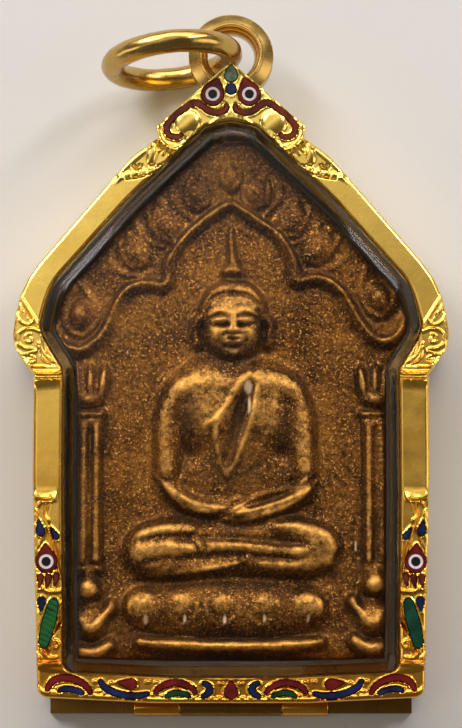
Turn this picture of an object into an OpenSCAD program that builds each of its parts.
// Thai Buddha amulet in a clear capsule, framed by an enamelled gold case with a loop and ring.
// The pendant lies on its back: X to the right, Y up to the ring, Z out of the front.
// The origin is on the surface it lies on, below the middle of its length and width.

/* [Case] */
// Width of the case across its shoulders
case_w = 34.0; // [31:0.5:38]
// Height of the front face from the bottom edge to the tip
case_h = 50.8; // [46:0.2:56]
// Width of the front band at the shoulders
band_w = 2.1; // [1.9:0.05:2.5]
// Height of the front band below the opening
sill_h = 2.05; // [1.95:0.05:2.6]
// Height of the front from the opening's peak to the tip
cap_h = 4.75; // [4.5:0.05:5.5]
// Height of the side wall from the split to the front face
wall_h = 6.15; // [5.8:0.05:7]
// Thickness of the front sheet that holds the capsule in
sheet_t = 0.8; // [0.7:0.05:1]
// How far the front sheet reaches over the capsule's flange
overhang = 0.7; // [0.55:0.05:0.8]
// How far the wall stops below the tip, where the loop is soldered on
neck_drop = 1.7; // [1.6:0.05:1.9]

/* [Back frame] */
// Thickness of the hinged back frame
lid_t = 1.2; // [1.1:0.05:1.6]
// How far the back frame reaches in past the front opening
lid_lip = 0.5; // [0.3:0.05:1]
// How far the back frame's ledge stands out at the bottom, beside the hinge
ledge_out = 0.5; // [0.3:0.05:0.6]
// Length of that ledge
ledge_len = 28.6; // [26:0.2:29]
// How far the ledge is below the back frame's top, to clear the case as it opens
ledge_step = 0.25; // [0.2:0.05:0.4]
// Gap between the back frame and the case
split_gap = 0.05; // [0.03:0.01:0.1]

/* [Hinge] */
// Radius of the hinge barrel
barrel_r = 0.65; // [0.6:0.01:0.75]
// Radius of the hinge pin
pin_r = 0.3; // [0.25:0.01:0.33]
// Clearance round the pin
pin_gap = 0.05; // [0.03:0.01:0.09]
// Length of the middle knuckle, on the back frame
knuckle_mid = 7.9; // [6:0.1:9]
// Length of each outer knuckle, on the case
knuckle_end = 3.6; // [3:0.1:4.5]
// Clearance round a knuckle
knuckle_gap = 0.1; // [0.08:0.01:0.15]

/* [Loop and ring] */
// Outer radius of the loop
bail_r = 3.4; // [3.2:0.05:3.8]
// Radius of the loop's hole at its waist
bail_hole_r = 1.85; // [1.8:0.05:1.95]
// Thickness of the loop
bail_t = 2.8; // [2.5:0.05:2.9]
// Height of the loop's middle plane above the surface
bail_z = 4.7; // [4.6:0.05:4.8]
// How far the loop's centre is above the tip
bail_rise = 0.9; // [0.85:0.05:1]
// Radius of the ring's wire
wire_r = 0.95; // [0.8:0.01:1]
// Radius of the ring to the middle of its wire
ring_r = 4.75; // [4.7:0.05:5.2]
// Lean of the ring towards the top of the case, in degrees
ring_lean = 4; // [2:0.5:5]
// Turn of the ring down from a level line to the left, in degrees
ring_turn = 6.5; // [0:0.5:8]
// How far the ring's wire passes above the loop's centre
ring_seat = 0.05; // [0:0.05:0.4]

/* [Capsule and amulet] */
// Gap between neighbouring pieces
piece_gap = 0.05; // [0.03:0.01:0.08]
// Thickness of the clear back plate
back_plate_t = 0.8; // [0.6:0.05:1]
// Thickness of the clear front's top
dome_t = 0.9; // [0.7:0.05:1.1]
// How far the clear front stands proud of the gold
dome_rise = 1.0; // [0.8:0.05:1.3]
// Radius of the clear front's rounded edge
dome_edge = 0.9; // [0.6:0.05:1]
// Wall of the clear front inside the opening
capsule_wall = 0.85; // [0.7:0.05:1]
// Thickness of the amulet's plate
plate_t = 2.9; // [2.5:0.05:3.1]
// Height of the amulet's highest relief above its plate
relief_h = 1.9; // [1.5:0.05:2.1]
// Rounding of the amulet plate's upper edge
plate_edge = 0.8; // [0.5:0.05:1]

/* [Enamel and relief on the gold] */
// Depth of the cells cut for the enamel
cell_depth = 0.35; // [0.3:0.01:0.4]
// Thickness of the enamel in its cell
enamel_t = 0.3; // [0.2:0.01:0.32]
// Gap between enamel and gold
cell_gap = 0.04; // [0.02:0.01:0.05]
// Width of an enamel ribbon
ribbon_w = 0.42; // [0.35:0.01:0.46]
// Radius of the white of an eye
eye_r = 0.56; // [0.5:0.01:0.6]
// Radius of the black of an eye
pupil_r = 0.33; // [0.28:0.01:0.36]
// Radius of the round end of the enamel drop round each eye
lid_r = 0.8; // [0.76:0.01:0.84]
// Radius of the round end of the green drop at the tip
tip_drop_r = 0.5; // [0.4:0.01:0.54]
// Radius of the round end of the red drop in the middle of the lower band
sill_drop_r = 0.48; // [0.4:0.01:0.55]
// Radius of the blue dot between the eyes
brow_r = 0.38; // [0.3:0.01:0.42]
// Radius of the ball that each cheek is cut from
cheek_r = 1.05; // [0.95:0.01:1.1]
// Radius of the gold grains on the lower band
grain_r = 0.22; // [0.18:0.01:0.25]
// Height of the raised scrolls and lines
rib_h = 0.3; // [0.2:0.01:0.4]
// Width of the raised scrolls and lines
rib_w = 0.3; // [0.24:0.01:0.36]

/* [Hidden] */
SIDES = ["left", "right"];
BAND_CELLS = ["arch_end", "crescent_end", "comma", "bud", "arch_mid", "crescent_mid", "wave"];
FACE_CELLS = ["lid", "eye", "pupil", "scroll"];
NAGA_CELLS = ["wedge", "lid", "eye", "pupil", "tongue_low", "tongue_mid", "tongue_high", "cheek",
    "drop", "leaf"];

GOLD = "gold";
MAROON = [0.38, 0.05, 0.05];
NAVY = [0.08, 0.1, 0.3];
GREEN = [0.05, 0.35, 0.2];
WHITE = [0.92, 0.92, 0.88];
BLACK = [0.03, 0.03, 0.03];
CLEAR = [0.8, 0.8, 0.85, 0.4];
BRONZE = [0.42, 0.26, 0.12];

total_len = barrel_r + split_gap + case_h + bail_rise + bail_r;
bottom_y = barrel_r + split_gap - total_len / 2;
tip_y = bottom_y + case_h;
sill_y = bottom_y + sill_h;
peak_y = tip_y - cap_h;
case_z = lid_t + split_gap;
face_z = case_z + wall_h;
sheet_z = face_z - sheet_t;
neck_y = tip_y - neck_drop;
hinge_y = bottom_y - split_gap;
hinge_z = lid_t + split_gap / 2;
hinge_half = knuckle_mid / 2 + knuckle_gap + knuckle_end;
bail_y = tip_y + bail_rise;
ring_z = ring_r + wire_r + piece_gap;
plate_z = case_z + back_plate_t + piece_gap;
dome_z = face_z + dome_rise;
cap_unit = cap_h / 4.75;
cheek_sink = 0.71 * cheek_r;
beyond = 2 * case_h;
eps = 0.01;

// Half outlines from the bottom middle to the top: share of half width, share of height, and
// the corner's radius in millimetres.
OUTLINE = [[0, 0, 120], [0.876, 0.0149, 0.9], [0.908, 0.356, 40], [0.908, 0.508, 0.4],
    [1.012, 0.5526, 3], [0.974, 0.646, 9], [0.465, 0.8472, 4], [0.338, 0.879, 0.3],
    [0.35, 0.896, 0.5], [0, 1, 0.2]];
OPENING = [[0, 0, 100], [0.869, 0.0138, 1], [0.883, 0.342, 40], [0.883, 0.547, 1],
    [1.013, 0.619, 2.4], [0.953, 0.6995, 5], [0.537, 0.86, 15], [0.141, 0.9885, 1.2], [0, 1, 2.5]];

// Vectors and points

function unit(v) = v / norm(v);
function left_of(v) = [-v[1], v[0]];
function mix(a, b, t) = a + (b - a) * t;
function sized(rows, half_w, low, high) =
    [for (r = rows) [r[0] * half_w, low + r[1] * (high - low), r[2]]];
function closed(half) = concat(half, [for (i = [len(half) - 2:-1:1])
    [-half[i][0], half[i][1], half[i][2]]]);
function at(p, i) = p[(i + len(p)) % len(p)];
function flat(p) = [p[0], p[1]];

// A closed outline moved inwards by d, with mitred corners and their radii kept concentric
function inset(p, d) = [for (i = [0:len(p) - 1])
    let (a = unit(flat(at(p, i)) - flat(at(p, i - 1))),
        b = unit(flat(at(p, i + 1)) - flat(at(p, i))),
        shift = (left_of(a) + left_of(b)) * d / (1 + a * b),
        turn = sign(cross(a, b)))
    [p[i][0] + shift[0], p[i][1] + shift[1], max(0.05, p[i][2] - turn * d)]];

// A closed outline with an arc in each corner; a corner's steps depend on its angle alone
function rounded(p) = [for (i = [0:len(p) - 1])
    let (c = flat(p[i]), a = flat(at(p, i - 1)) - c, b = flat(at(p, i + 1)) - c,
        ua = unit(a), ub = unit(b), turn = 180 - acos(max(-1, min(1, ua * ub))),
        reach = min(p[i][2] * tan(turn / 2), 0.49 * min(norm(a), norm(b))),
        r = reach / tan(turn / 2), mid = c + unit(ua + ub) * norm([r, reach]),
        from = c + ua * reach - mid, to = c + ub * reach - mid,
        start = atan2(from[1], from[0]), sweep = atan2(cross(from, to), from * to),
        steps = max(1, ceil(turn / 11)))
    for (k = [0:steps]) let (w = start + sweep * k / steps) mid + r * [cos(w), sin(w)]];

outline = closed(sized(OUTLINE, case_w / 2, bottom_y, tip_y));
opening = closed(sized(OPENING, case_w / 2 - band_w, sill_y, peak_y));
outline_path = rounded(outline);
opening_path = rounded(opening);

// Half width of a path at a height
function half_rows(path) = [for (p = path) if (p[0] > eps) [p[1], p[0]]];
outline_rows = half_rows(outline_path);
opening_rows = half_rows(opening_path);

// A smooth line through a few points, with k steps between neighbours
function through(p, k) = concat([for (i = [0:len(p) - 2], j = [0:k - 1])
    let (t = j / k, a = p[max(0, i - 1)], b = p[i], c = p[i + 1], d = p[min(len(p) - 1, i + 2)])
    0.5 * (2 * b + (c - a) * t + (2 * a - 5 * b + 4 * c - d) * t * t
        + (3 * b - a - 3 * c + d) * t * t * t)], [p[len(p) - 1]]);

// A ribbon along a smooth line, narrow at both ends, and larger all round by g
function ribbon(points, w, g = 0, k = 3) =
    let (p = through(points, k), n = len(p) - 1,
        way = [for (i = [0:n]) unit(p[min(n, i + 1)] - p[max(0, i - 1)])],
        half = [for (i = [0:n]) w / 2 * (0.3 + 0.7 * sqrt(sin(180 * i / n))) + g],
        line = [for (i = [0:n]) p[i] + way[i] * (i == 0 ? -g : i == n ? g : 0)])
    concat([for (i = [0:n]) line[i] - left_of(way[i]) * half[i]],
        [for (i = [n:-1:0]) line[i] + left_of(way[i]) * half[i]]);

// A drop: a circle of radius r round c drawn out to a point, and larger all round by g
function drop(c, r, point, g = 0, n = 16) =
    let (far = norm(point - c), way = unit(point - c), tip = point + way * g * 2, big = r + g,
        a0 = atan2(way[1], way[0]), open = acos(big / norm(tip - c)))
    concat([tip], [for (i = [0:n]) let (w = a0 + open + (360 - 2 * open) * i / n)
        c + big * [cos(w), sin(w)]]);

// Places on the gold

// On the cap: a to the side and b down from the tip
function cap_at(a, b) = [a * cap_unit, tip_y - b * cap_unit];
// On a side band: u from the outer edge to the opening, v up the case's height
function side_at(u, v) = let (y = bottom_y + v * case_h)
    [mix(lookup(y, outline_rows), lookup(y, opening_rows), u), y];
// On the band below the opening: t along it from the middle, u up from its lower edge
sill_half = OUTLINE[1][0] * case_w / 2;
function low_rows(path, low) = [for (p = path) if (p[0] > -eps && p[1] < low + sill_h / 2) p];
outline_low = low_rows(outline_path, bottom_y);
opening_low = low_rows(opening_path, sill_y);
function sill_at(t, u) = let (x = t * sill_half)
    [x, mix(lookup(x, outline_low), lookup(x, opening_low), u)];

// Enamel cells on one side, each an outline larger all round by g

crown_eye = cap_at(1.45, 2.72);
brow = cap_at(0, 2.3);
cheek = cap_at(3.5, 4.95);
naga_eye = side_at(0.44, 0.2195);

function face_cell(cell, g) =
    cell == "lid" ? drop(crown_eye, lid_r + 0.06, cap_at(1.0, 1.42), g)
    : ribbon([cap_at(0.42, 3.5), cap_at(0.34, 3.92), cap_at(0.95, 4.22), cap_at(1.7, 4.12),
        cap_at(2.25, 3.68), cap_at(2.9, 3.42), cap_at(3.75, 3.88), cap_at(4.62, 4.62),
        cap_at(5.12, 5.35), cap_at(4.9, 6.02), cap_at(4.25, 6.2), cap_at(3.85, 5.95)],
        ribbon_w, g, 2);

function tongue(u, v, w, g) = drop(side_at(u, v), w, side_at(u - 0.06, v - 0.0155), g, 10);

function naga_cell(cell, g) =
    cell == "wedge" ? drop(side_at(0.25, 0.265), 0.3, side_at(0.2, 0.283), g, 10)
    : cell == "lid" ? drop(naga_eye, lid_r, side_at(0.42, 0.2465), g)
    : cell == "tongue_low" ? tongue(0.22, 0.1955, 0.21, g)
    : cell == "tongue_mid" ? tongue(0.51, 0.1955, 0.21, g)
    : cell == "tongue_high" ? tongue(0.8, 0.1975, 0.18, g)
    : cell == "cheek" ? drop(side_at(0.82, 0.257), 0.2, side_at(0.62, 0.272), g, 10)
    : cell == "drop" ? drop(side_at(0.24, 0.1595), 0.3, side_at(0.22, 0.144), g, 10)
    : ribbon([side_at(0.72, 0.163), side_at(0.62, 0.146), side_at(0.48, 0.125),
        side_at(0.36, 0.106), side_at(0.24, 0.09)], 0.95, g);

function arch(t, span, low, high, w, g) =
    ribbon([sill_at(t - span, low), sill_at(t - span * 0.72, mix(low, high, 0.62)),
        sill_at(t, high), sill_at(t + span * 0.72, mix(low, high, 0.62)), sill_at(t + span, low)],
        w, g);

function sill_cell(cell, g) =
    cell == "arch_end" ? arch(0.835, 0.115, 0.22, 0.76, ribbon_w, g)
    : cell == "crescent_end" ? arch(0.825, 0.06, 0.2, 0.36, ribbon_w * 0.8, g)
    : cell == "comma" ? ribbon([sill_at(0.675, 0.78), sill_at(0.65, 0.5), sill_at(0.57, 0.27),
        sill_at(0.48, 0.24), sill_at(0.425, 0.36)], ribbon_w, g)
    : cell == "bud" ? drop(sill_at(0.515, 0.66), 0.4, sill_at(0.585, 0.72), g)
    : cell == "arch_mid" ? arch(0.285, 0.105, 0.36, 0.8, ribbon_w, g)
    : cell == "crescent_mid" ? arch(0.275, 0.06, 0.22, 0.4, ribbon_w * 0.8, g)
    : ribbon([sill_at(0.145, 0.8), sill_at(0.11, 0.62), sill_at(0.115, 0.4),
        sill_at(0.15, 0.24)], ribbon_w, g);

// Modules

module mirrored(side) {
    if (side == "left") mirror([1, 0]) children();
    else children();
}

// An enamel piece in its cell, and the same piece's cell in the gold
module enamel(extra = 0) {
    translate([0, 0, face_z - cell_depth + piece_gap / 2]) linear_extrude(enamel_t + extra) children();
}

module crown_piece(cell, side) {
    colour = cell == "eye" ? WHITE : cell == "pupil" ? BLACK : MAROON;
    color(colour) mirrored(side) eye_or_cell(cell, crown_eye) polygon(face_cell(cell, 0));
}

module naga_piece(cell, side) {
    colour = cell == "eye" ? WHITE : cell == "pupil" ? BLACK : cell == "leaf" ? GREEN
        : cell == "wedge" || cell == "drop" || cell == "cheek" ? NAVY : MAROON;
    color(colour) mirrored(side) eye_or_cell(cell, naga_eye) polygon(naga_cell(cell, 0));
}

module eye_or_cell(cell, centre) {
    if (cell == "pupil") enamel(0.1) translate(centre) circle(pupil_r, $fn = 40);
    else if (cell == "eye") enamel(0.06) translate(centre) difference() {
        circle(eye_r, $fn = 40);
        circle(pupil_r + cell_gap, $fn = 40);
    }
    else enamel() difference() {
        children();
        if (cell == "lid") translate(centre) circle(eye_r + cell_gap, $fn = 40);
    }
}

module sill_piece(cell, side) {
    colour = cell == "comma" || cell == "wave" ? NAVY
        : cell == "crescent_mid" ? GREEN : cell == "crescent_end" ? NAVY : MAROON;
    color(colour) mirrored(side) enamel() polygon(sill_cell(cell, 0));
}

module crown_drop() color(GREEN) enamel() polygon(crown_drop_path(0));
module brow_dot() color(NAVY) enamel() translate(brow) circle(brow_r, $fn = 40);
module sill_drop() color(MAROON) enamel() polygon(sill_drop_path(0));

// Outlines of both sides, from those of the right side
function both(paths) = concat(paths, [for (p = paths) [for (i = [len(p) - 1:-1:0])
    [-p[i][0], p[i][1]]]]);

// Several outlines that don't meet, as one flat shape
module outlines(paths) {
    starts = [for (i = 0, n = 0; i < len(paths); n = n + len(paths[i]), i = i + 1) n];
    polygon([for (p = paths) each p],
        [for (i = [0:len(paths) - 1]) [for (j = [0:len(paths[i]) - 1]) starts[i] + j]]);
}

function crown_drop_path(g) = drop(cap_at(0, 1.16), tip_drop_r, cap_at(0, 0.3), g);
function sill_drop_path(g) = drop(sill_at(0, 0.42), sill_drop_r, sill_at(0, 0.84), g);

// All cells of ribbons and drops, as they are cut from the gold's face
function cell_paths(g) = concat([crown_drop_path(g), sill_drop_path(g)],
    both(concat([for (cell = ["lid", "scroll"]) face_cell(cell, g)],
        [for (cell = NAGA_CELLS) if (cell != "eye" && cell != "pupil") naga_cell(cell, g)],
        [for (cell = BAND_CELLS) sill_cell(cell, g)])));

// Raised lines of the cast scrollwork on one side: a width as a share of rib_w, then points
LINES = concat(
    [for (i = [0:2]) [1, side_at(0.1, 0.866 - i * 0.0115), side_at(0.5, 0.862 - i * 0.0115),
        side_at(0.9, 0.847 - i * 0.0115)]],
    [[1, side_at(0.15, 0.828), side_at(0.5, 0.82), side_at(0.82, 0.8), side_at(0.6, 0.788),
        side_at(0.36, 0.798)],
    [1, side_at(0.12, 0.808), side_at(0.16, 0.79), side_at(0.1, 0.772)],
    [1, side_at(0.12, 0.618), side_at(0.4, 0.603), side_at(0.82, 0.585), side_at(0.88, 0.565)],
    [1, side_at(0.14, 0.598), side_at(0.5, 0.583), side_at(0.7, 0.566), side_at(0.45, 0.56),
        side_at(0.38, 0.572)],
    [1, side_at(0.12, 0.575), side_at(0.2, 0.553), side_at(0.6, 0.545), side_at(0.86, 0.552)],
    [1, side_at(0.22, 0.54), side_at(0.55, 0.531), side_at(0.85, 0.538)],
    [1.2, side_at(0.06, 0.5135), side_at(0.5, 0.5145), side_at(0.94, 0.5135)],
    [1.2, side_at(0.06, 0.504), side_at(0.5, 0.505), side_at(0.94, 0.504)],
    [1.1, side_at(0.08, 0.304), side_at(0.5, 0.3065), side_at(0.92, 0.304)],
    [0.9, side_at(0.85, 0.297), side_at(0.55, 0.294), side_at(0.4, 0.288)],
    [1, side_at(0.08, 0.171), side_at(0.4, 0.174), side_at(0.92, 0.1755)],
    [1, side_at(0.92, 0.14), side_at(0.88, 0.12), side_at(0.72, 0.09), side_at(0.6, 0.075)]]);

line_paths = both([for (row = LINES)
    ribbon([for (i = [1:len(row) - 1]) row[i]], rib_w * row[0])]);

module scroll_bosses() {
    intersection() {
        for (side = SIDES) mirrored(side)
            translate(concat(cheek, face_z - cheek_sink)) sphere(cheek_r, $fn = 48);
        translate([-case_w, 0, face_z - eps]) cube([2 * case_w, case_h, cheek_r]);
    }
    for (side = SIDES, t = [0.2, 0.375, 0.42, 0.72]) mirrored(side)
        translate(concat(sill_at(t, t < 0.4 ? 0.78 : 0.62), face_z)) sphere(grain_r, $fn = 24);
}

// The loop, turned round its own axis
module bail() {
    translate([0, bail_y, bail_z]) rotate_extrude($fn = 96) polygon(bail_profile());
}

function bail_profile() = let (h = bail_t / 2, waist = [[bail_hole_r + 0.55, h],
        [bail_hole_r + 0.25, h * 0.8], [bail_hole_r + 0.06, h * 0.4]])
    concat(waist, [for (i = [2:-1:0]) [waist[i][0], -waist[i][1]]],
        [[bail_r - 0.75, -h], [bail_r, -h * 0.6], [bail_r, h * 0.6], [bail_r - 0.75, h]]);

// Knuckles of the hinge: a barrel from x0 to x1 with a web that joins it to a wall
module barrel(x0, x1, r) {
    translate([x0, hinge_y, hinge_z]) rotate([0, 90, 0]) cylinder(r = r, h = x1 - x0, $fn = 48);
}

module end_knuckles(r, extra) {
    for (side = [0, 1]) mirror([side, 0, 0])
        barrel(knuckle_mid / 2 + knuckle_gap - extra, hinge_half + extra, r);
}

module case_prism(z, h, path) {
    translate([0, 0, z]) linear_extrude(h) polygon(path);
}

module above_neck(h) {
    translate([-case_w, neck_y, h - beyond]) cube([2 * case_w, case_h, beyond]);
}

module front_case() {
    color(GOLD) difference() {
        union() {
            difference() {
                case_prism(case_z, wall_h, outline_path);
                case_prism(case_z - eps, sheet_z - case_z + eps,
                    rounded(inset(opening, -overhang)));
                case_prism(sheet_z - eps, sheet_t + 2 * eps, opening_path);
                above_neck(sheet_z);
                translate([0, 0, face_z - cell_depth]) linear_extrude(cell_depth + eps)
                    outlines(cell_paths(cell_gap));
                translate(concat(brow, face_z - cell_depth))
                    cylinder(r = brow_r + cell_gap, h = cell_depth + eps, $fn = 40);
            }
            translate([0, 0, face_z - eps]) linear_extrude(rib_h + eps) outlines(line_paths);
            scroll_bosses();
            bail();
            difference() {
                end_knuckles(barrel_r, 0);
                translate([-case_w, hinge_y, lid_t - beyond]) cube([2 * case_w, case_h, beyond]);
            }
        }
        barrel(-knuckle_mid / 2 - knuckle_gap, knuckle_mid / 2 + knuckle_gap,
            barrel_r + knuckle_gap);
        barrel(-hinge_half - eps, hinge_half + eps, pin_r + pin_gap);
    }
}

module back_lid() {
    color(GOLD) difference() {
        union() {
            difference() {
                case_prism(0, lid_t, outline_path);
                above_neck(beyond);
            }
            translate([-ledge_len / 2, bottom_y - ledge_out, 0])
                cube([ledge_len, ledge_out + lid_t, lid_t - ledge_step]);
            barrel(-knuckle_mid / 2, knuckle_mid / 2, barrel_r);
        }
        case_prism(-eps, lid_t + 2 * eps, rounded(inset(opening, lid_lip)));
        end_knuckles(barrel_r + knuckle_gap, knuckle_gap);
        barrel(-hinge_half - eps, hinge_half + eps, pin_r + pin_gap);
    }
}

module hinge_pin() {
    color(GOLD) barrel(-hinge_half + pin_r, hinge_half - pin_r, pin_r);
}

module suspension_ring() {
    color(GOLD) translate([0, bail_y + ring_seat, ring_z]) rotate([0, 0, ring_turn])
        translate([-ring_r, 0, 0]) rotate([90 - ring_lean, 0, 0])
        rotate_extrude($fn = 96) translate([ring_r, 0]) circle(wire_r, $fn = 48);
}

// A closed solid through outlines of equal length, each at its own height
module stack(rings, heights) {
    n = len(rings[0]);
    points = [for (i = [0:len(rings) - 1], p = rings[i]) [p[0], p[1], heights[i]]];
    walls = [for (i = [0:len(rings) - 2], j = [0:n - 1]) let (a = i * n + j, b = i * n + (j + 1) % n)
        each [[a, b, b + n], [a, b + n, a + n]]];
    last = (len(rings) - 1) * n;
    polyhedron(points, concat([for (f = walls) [f[2], f[1], f[0]]], [[for (j = [0:n - 1]) j]],
        [[for (j = [n - 1:-1:0]) last + j]]));
}

function level(d) = rounded(inset(opening, d));

// The clear front: an inner hollow from its ceiling down, then the flange and the rounded top
module capsule_front() {
    flange_z = sheet_z - piece_gap;
    ceiling = dome_z - dome_t;
    outer = piece_gap;
    steps = [for (k = [1:3]) k * 30];
    cove = 0.5 * dome_edge;
    d = concat([capsule_wall + cove, capsule_wall, capsule_wall],
        [-overhang + piece_gap, -overhang + piece_gap, outer, outer],
        [for (w = steps) outer + dome_edge * (1 - cos(w))]);
    z = concat([ceiling, ceiling - cove, plate_z], [plate_z, flange_z, flange_z, dome_z - dome_edge],
        [for (w = steps) dome_z - dome_edge * (1 - sin(w))]);
    color(CLEAR) stack([for (v = d) level(v)], z);
}

module capsule_back() {
    color(CLEAR) case_prism(case_z, back_plate_t, level(-overhang + piece_gap));
}

// Relief of the amulet

// Rounded forms: x and y of both ends, half width and height as a share of the relief. Both
// ends are shares of the amulet's half width and height, from the middle of its bottom edge.
FORMS = [
    [0.00, 0.622, 0.00, 0.652, 0.172, 0.84],
    [0.00, 0.655, 0.00, 0.662, 0.183, 0.92],
    [0.00, 0.735, 0.00, 0.744, 0.074, 0.80],
    [0.00, 0.765, 0.00, 0.812, 0.036, 0.60],
    [0.00, 0.545, 0.00, 0.570, 0.110, 0.55],
    [-0.32, 0.512, 0.32, 0.512, 0.120, 0.72],
    [-0.14, 0.465, 0.14, 0.465, 0.210, 0.74],
    [0.00, 0.350, 0.00, 0.450, 0.250, 0.78],
    [-0.10, 0.272, 0.10, 0.272, 0.062, 0.92],
    [-0.56, 0.215, 0.10, 0.200, 0.105, 0.88],
    [-0.10, 0.210, 0.56, 0.215, 0.108, 0.98],
    [-0.53, 0.097, 0.53, 0.097, 0.090, 0.52],
    [-0.56, 0.032, 0.56, 0.032, 0.040, 0.46]];
// Forms that stand on both sides alike
PAIRED = [
    [0.222, 0.590, 0.225, 0.665, 0.036, 0.45],
    [0.37, 0.505, 0.405, 0.365, 0.082, 0.82],
    [0.40, 0.345, 0.10, 0.280, 0.068, 0.86],
    [0.885, 0.195, 0.885, 0.440, 0.060, 0.46],
    [0.900, 0.500, 0.900, 0.555, 0.084, 0.50],
    [0.840, 0.468, 0.950, 0.468, 0.034, 0.44],
    [0.840, 0.040, 0.820, 0.095, 0.090, 0.52],
    [0.825, 0.138, 0.825, 0.142, 0.058, 0.55]];
// The arch on one side, from its top over the cusp and the scallop into the loop
ARCH = [[0.00, 0.866], [0.12, 0.845], [0.23, 0.812], [0.33, 0.783], [0.38, 0.750], [0.395, 0.710],
    [0.52, 0.716], [0.61, 0.705], [0.70, 0.678], [0.745, 0.638], [0.79, 0.600], [0.87, 0.578],
    [0.99, 0.576], [1.08, 0.605], [1.09, 0.650], [1.03, 0.690], [0.95, 0.700], [0.90, 0.668],
    [0.92, 0.630]];
// Petals above the arch on one side
PETALS = [[0.11, 0.920, 0.12, 0.885], [0.25, 0.895, 0.27, 0.865], [0.40, 0.862, 0.42, 0.825],
    [0.57, 0.808, 0.58, 0.770]];

amulet_inset = capsule_wall + piece_gap * 3;
amulet_path = level(amulet_inset);
amulet_rows = half_rows(amulet_path);
amulet_low = sill_y + amulet_inset + 0.94 * plate_edge;
amulet_high = peak_y - amulet_inset - 0.3 * plate_edge;
amulet_half = case_w / 2 - band_w - amulet_inset;

function on_plate(x, y) = [x * amulet_half * 0.88, mix(amulet_low, amulet_high, y)];
function along(p, a, b) = let (ab = b - a, t = max(0, min(1, (p - a) * ab / (ab * ab))))
    norm(p - a - ab * t);
function bump(p, a, b, w, h) = let (d = along(p, a, b) / w) d >= 1 ? 0 : h * pow(1 - d * d, 0.6);

strokes = concat(
    [for (f = FORMS) [on_plate(f[0], f[1]), on_plate(f[2], f[3]), f[4] * amulet_half, f[5]]],
    [for (f = PAIRED, s = [-1, 1])
        [on_plate(s * f[0], f[1]), on_plate(s * f[2], f[3]), f[4] * amulet_half, f[5]]],
    [for (i = [0:len(ARCH) - 2], s = [-1, 1]) [on_plate(s * ARCH[i][0], ARCH[i][1]),
        on_plate(s * ARCH[i + 1][0], ARCH[i + 1][1]), 0.05 * amulet_half, 0.42]],
    [for (f = PETALS, s = [-1, 1])
        [on_plate(s * f[0], f[1]), on_plate(s * f[2], f[3]), 0.055 * amulet_half, 0.36]]);

function relief(x, y) = max([for (s = strokes) bump([x, y], s[0], s[1], s[2], s[3])]);

// The pressed amulet: a plate with rounded edges whose front carries the relief on a grid
module amulet() {
    cols = 50;
    rows = 76;
    top = plate_z + piece_gap + plate_t;
    base = plate_z + piece_gap;
    function across(i) = let (s = 2 * i / cols - 1) sign(s) * (1 - pow(1 - abs(s), 1.15));
    heights = [for (j = [0:rows]) mix(amulet_low, amulet_high, j / rows)];
    field = [for (j = [0:rows], i = [0:cols]) let (y = heights[j], hw = lookup(y, amulet_rows),
            x = across(i) * hw, rim = min(hw - abs(x), y - amulet_low, amulet_high - y),
            inward = max(0, plate_edge - rim),
            soft = plate_edge - sqrt(max(0, plate_edge * plate_edge - inward * inward)))
        [x, y, top - soft + (rim < eps ? 0 : relief_h * relief(x, y))]];
    floor_points = [for (j = [0:rows], i = [0, cols]) let (y = heights[j])
        [across(i) * lookup(y, amulet_rows), y, base]];
    n = len(field);
    w = cols + 1;
    front = [for (j = [0:rows - 1], i = [0:cols - 1]) let (a = j * w + i)
        each [[a + w, a + 1, a], [a + w, a + w + 1, a + 1]]];
    sides = [for (j = [0:rows - 1]) let (a = n + 2 * j, l = j * w, r = l + cols)
        each [[l, a, a + 2], [l, a + 2, l + w], [r, a + 3, a + 1], [r, r + w, a + 3],
            [a, a + 1, a + 3], [a, a + 3, a + 2]]];
    bottom = concat([n + 1, n], [for (i = [0:cols]) i]);
    last = n + 2 * rows;
    head = concat([last, last + 1], [for (i = [cols:-1:0]) rows * w + i]);
    color(BRONZE) polyhedron(concat(field, floor_points), concat(front, sides, [bottom, head]));
}

front_case();
back_lid();
hinge_pin();
suspension_ring();
capsule_front();
capsule_back();
amulet();
crown_drop();
brow_dot();
sill_drop();
for (side = SIDES) {
    for (cell = FACE_CELLS)
        crown_piece(cell, side);
    for (cell = NAGA_CELLS)
        naga_piece(cell, side);
    for (cell = BAND_CELLS)
        sill_piece(cell, side);
}
